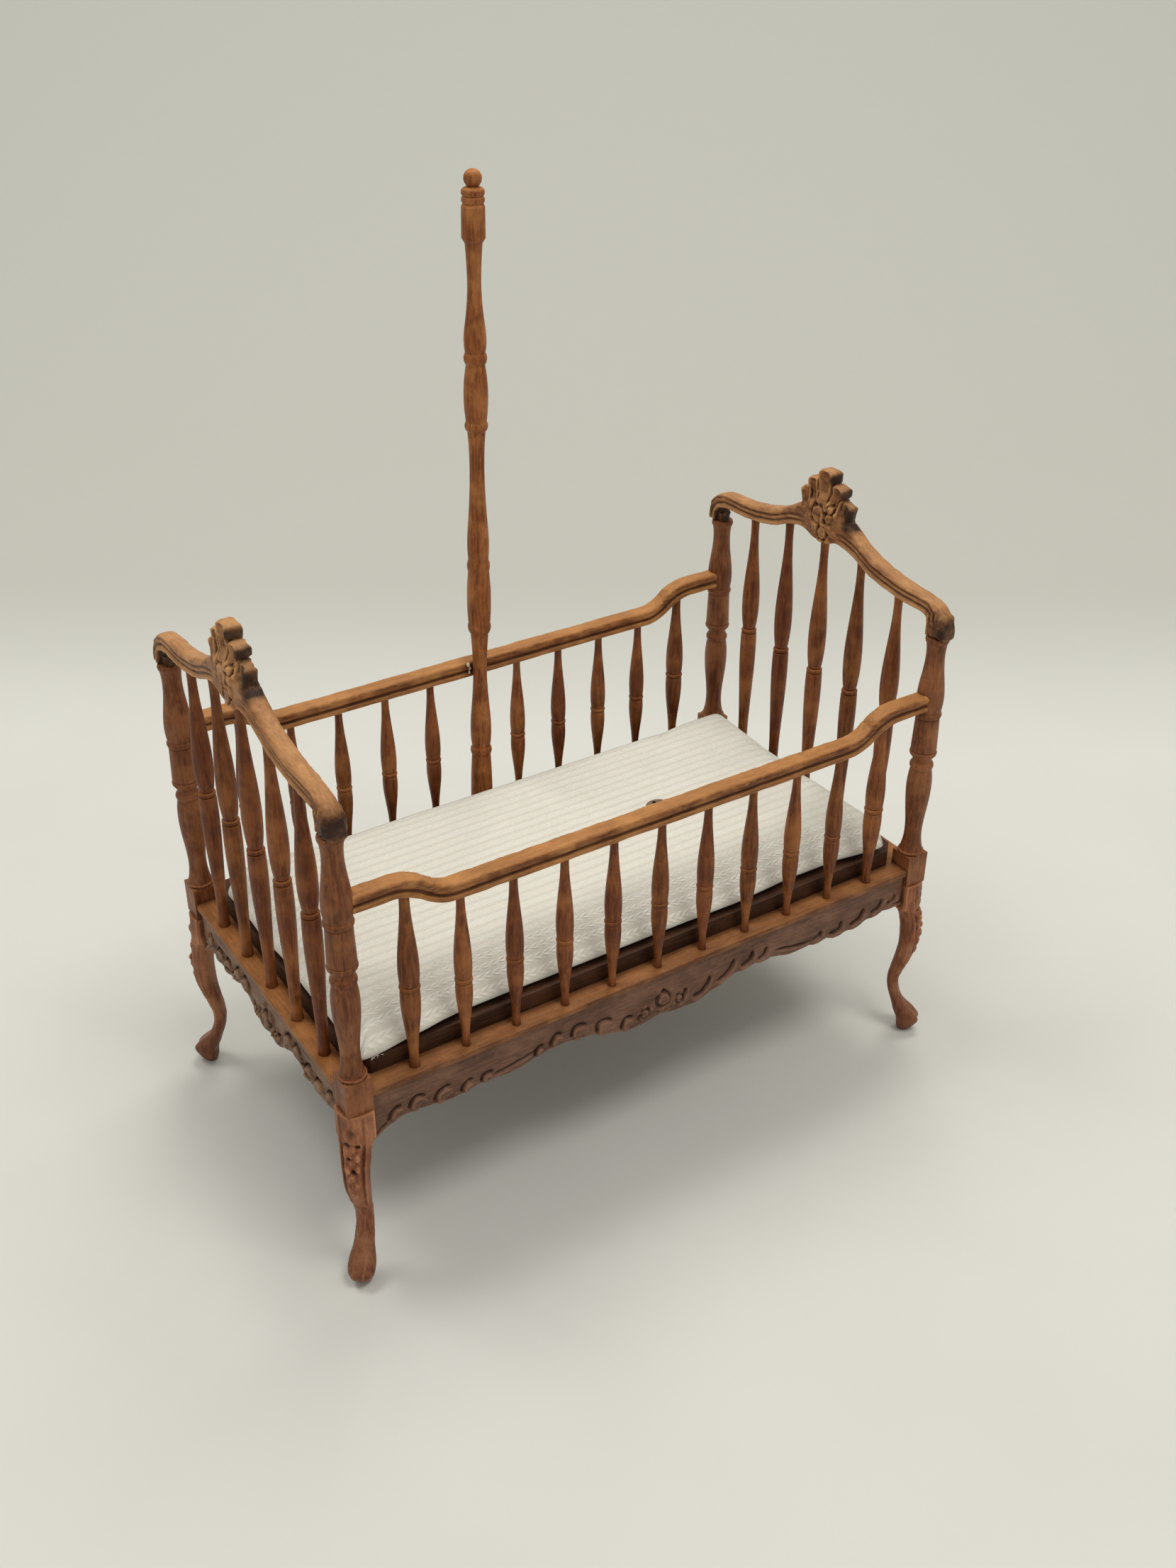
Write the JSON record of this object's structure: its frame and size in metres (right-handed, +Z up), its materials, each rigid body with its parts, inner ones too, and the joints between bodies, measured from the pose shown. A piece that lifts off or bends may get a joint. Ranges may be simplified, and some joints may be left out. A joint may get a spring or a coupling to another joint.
{
  "type": "miniature cot with canopy pole",
  "caption": "Dolls-house cot with spindle sides, serpentine crest rails, carved aprons, cabriole legs, a turned canopy pole behind one side and a loose mattress.",
  "frame": {"origin": "centre of the footprint, on the floor the feet stand on", "axes": "+Z up, +X along the cot's length, +Y to the rear, the side with the canopy pole"},
  "size_m": [0.1282, 0.0732, 0.1633],
  "materials": {
    "turned_wood": "stained, satin",
    "carved_wood": "stained, satin, darker in the recesses",
    "rail_wood": "stained, satin",
    "platform_wood": "dark stain, matt",
    "lug_wood": "greyed, matt",
    "pad_fabric": "unbleached woven cotton"
  },
  "bodies": {
    "cot": {"front_left_post": "turned_wood", "front_right_post": "turned_wood", "rear_left_post": "turned_wood", "rear_right_post": "turned_wood", "front_spindle_01": "turned_wood", "front_spindle_02": "turned_wood", "front_spindle_03": "turned_wood", "front_spindle_04": "turned_wood", "front_spindle_05": "turned_wood", "front_spindle_06": "turned_wood", "front_spindle_07": "turned_wood", "front_spindle_08": "turned_wood", "front_spindle_09": "turned_wood", "front_spindle_10": "turned_wood", "front_spindle_11": "turned_wood", "rear_spindle_01": "turned_wood", "rear_spindle_02": "turned_wood", "rear_spindle_03": "turned_wood", "rear_spindle_04": "turned_wood", "rear_spindle_05": "turned_wood", "rear_spindle_07": "turned_wood", "rear_spindle_08": "turned_wood", "rear_spindle_09": "turned_wood", "rear_spindle_10": "turned_wood", "rear_spindle_11": "turned_wood", "left_spindle_01": "turned_wood", "left_spindle_02": "turned_wood", "left_spindle_03": "turned_wood", "left_spindle_04": "turned_wood", "left_spindle_05": "turned_wood", "right_spindle_01": "turned_wood", "right_spindle_02": "turned_wood", "right_spindle_03": "turned_wood", "right_spindle_04": "turned_wood", "right_spindle_05": "turned_wood", "canopy_pole": "turned_wood", "front_left_leg": "carved_wood", "front_right_leg": "carved_wood", "rear_left_leg": "carved_wood", "rear_right_leg": "carved_wood", "front_apron": "carved_wood", "rear_apron": "carved_wood", "left_apron": "carved_wood", "right_apron": "carved_wood", "left_crest_rail": "carved_wood", "right_crest_rail": "carved_wood", "front_top_rail": "rail_wood", "rear_top_rail": "rail_wood", "front_frame_rail": "rail_wood", "rear_frame_rail": "rail_wood", "left_frame_rail": "rail_wood", "right_frame_rail": "rail_wood", "mattress_platform": "platform_wood", "front_rail_lug": "lug_wood"},
    "mattress": {"mattress": "pad_fabric"}
  },
  "joints": [
    {"name": "mattress_lift", "type": "slide", "parent": "cot", "child": "mattress", "axis": [0, 0, 1], "range_m": [0, 0.07]}
  ]
}
